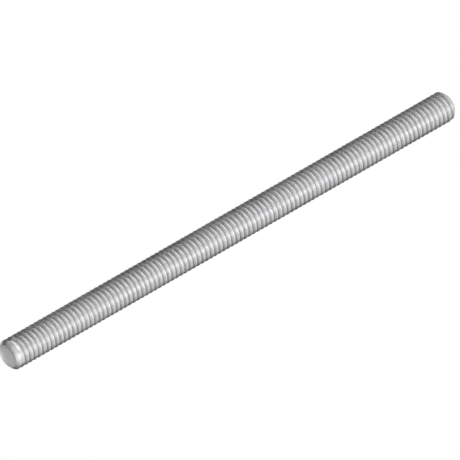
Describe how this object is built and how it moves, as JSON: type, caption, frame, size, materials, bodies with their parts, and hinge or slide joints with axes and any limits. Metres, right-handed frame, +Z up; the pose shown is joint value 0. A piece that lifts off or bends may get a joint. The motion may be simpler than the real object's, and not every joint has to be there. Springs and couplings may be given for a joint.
{
  "type": "threaded rod",
  "caption": "Straight steel rod with a right-hand thread rolled over its whole length and a flat, chamfered face at each end.",
  "frame": {"origin": "centre of the flat end face that looks along -X, on the rod's axis", "axes": "+X along the rod's axis from that face to the other end face, +Z up, +Y across"},
  "size_m": [0.072, 0.0038, 0.0038],
  "materials": {
    "steel": "plain rolled steel, satin"
  },
  "bodies": {
    "root": {"threaded_rod": "steel"}
  },
  "joints": []
}
